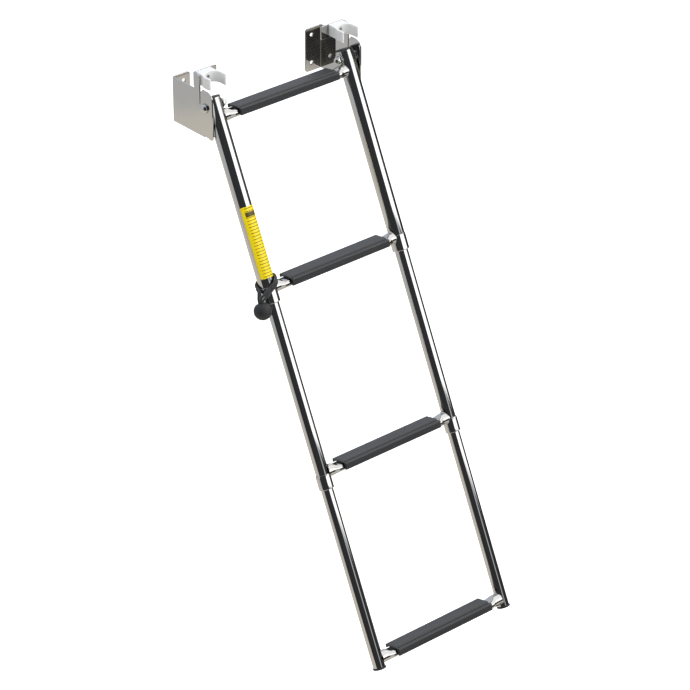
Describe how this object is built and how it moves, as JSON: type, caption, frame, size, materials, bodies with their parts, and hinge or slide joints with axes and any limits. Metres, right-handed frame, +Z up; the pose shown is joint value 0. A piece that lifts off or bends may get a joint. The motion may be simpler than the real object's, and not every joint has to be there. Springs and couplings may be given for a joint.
{
  "type": "boat boarding ladder",
  "caption": "Telescoping transom boarding ladder: polished tube rails with treaded rungs, hinged on two bent brackets with U-clips that hold it when it is swung up.",
  "frame": {"origin": "on the transom plane, midway between the two brackets and level with the pivot axis", "axes": "+X along the rungs towards the right bracket, -Y outboard from the transom, +Z up the transom"},
  "size_m": [0.3189, 0.4648, 0.8608],
  "materials": {
    "polished_steel": "mirror-polished stainless",
    "tread_plastic": "satin black, fine grain",
    "cap_plastic": "satin black",
    "white_nylon": "milky satin nylon",
    "yellow_label": "printed vinyl",
    "black_rubber": "satin moulded rubber",
    "elastic_cord": "braided sheath"
  },
  "bodies": {
    "brackets": {"bracket_left": "polished_steel", "bracket_right": "polished_steel", "clip_left": "white_nylon", "clip_right": "white_nylon", "clip_screw_left": "polished_steel", "clip_screw_right": "polished_steel", "clip_nut_left": "polished_steel", "clip_nut_right": "polished_steel", "pivot_bolt_left": "polished_steel", "pivot_bolt_right": "polished_steel", "plate_washer_left": "polished_steel", "plate_washer_right": "polished_steel", "nut_washer_left": "polished_steel", "nut_washer_right": "polished_steel", "pivot_nut_left": "polished_steel", "pivot_nut_right": "polished_steel"},
    "upper_section": {"upper_rail_left": "polished_steel", "upper_rail_right": "polished_steel", "top_plug_left": "cap_plastic", "top_plug_right": "cap_plastic", "upper_collar_left": "polished_steel", "upper_collar_right": "polished_steel", "rung_1": "polished_steel", "tread_1": "tread_plastic", "rung_2": "polished_steel", "tread_2": "tread_plastic", "label": "yellow_label", "cord_strand_a": "elastic_cord", "cord_strand_b": "elastic_cord", "cord_ball": "black_rubber"},
    "middle_section": {"middle_rail_left": "polished_steel", "middle_rail_right": "polished_steel", "slide_bush_left": "white_nylon", "slide_bush_right": "white_nylon", "lower_collar_left": "polished_steel", "lower_collar_right": "polished_steel", "rung_3": "polished_steel", "tread_3": "tread_plastic"},
    "lower_section": {"lower_rail_left": "polished_steel", "lower_rail_right": "polished_steel", "foot_cap_left": "cap_plastic", "foot_cap_right": "cap_plastic", "rung_4": "polished_steel", "tread_4": "tread_plastic"}
  },
  "joints": [
    {"name": "ladder_swing", "type": "hinge", "parent": "brackets", "child": "upper_section", "pos_m": [0, -0.078, 0], "axis": [-1, 0, 0], "range_deg": [0, 155]},
    {"name": "middle_slide", "type": "slide", "parent": "upper_section", "child": "middle_section", "axis": [0, 0.4226, 0.9063], "range_m": [0, 0.25]},
    {"name": "lower_slide", "type": "slide", "parent": "middle_section", "child": "lower_section", "axis": [0, 0.4226, 0.9063], "range_m": [0, 0.25]}
  ]
}
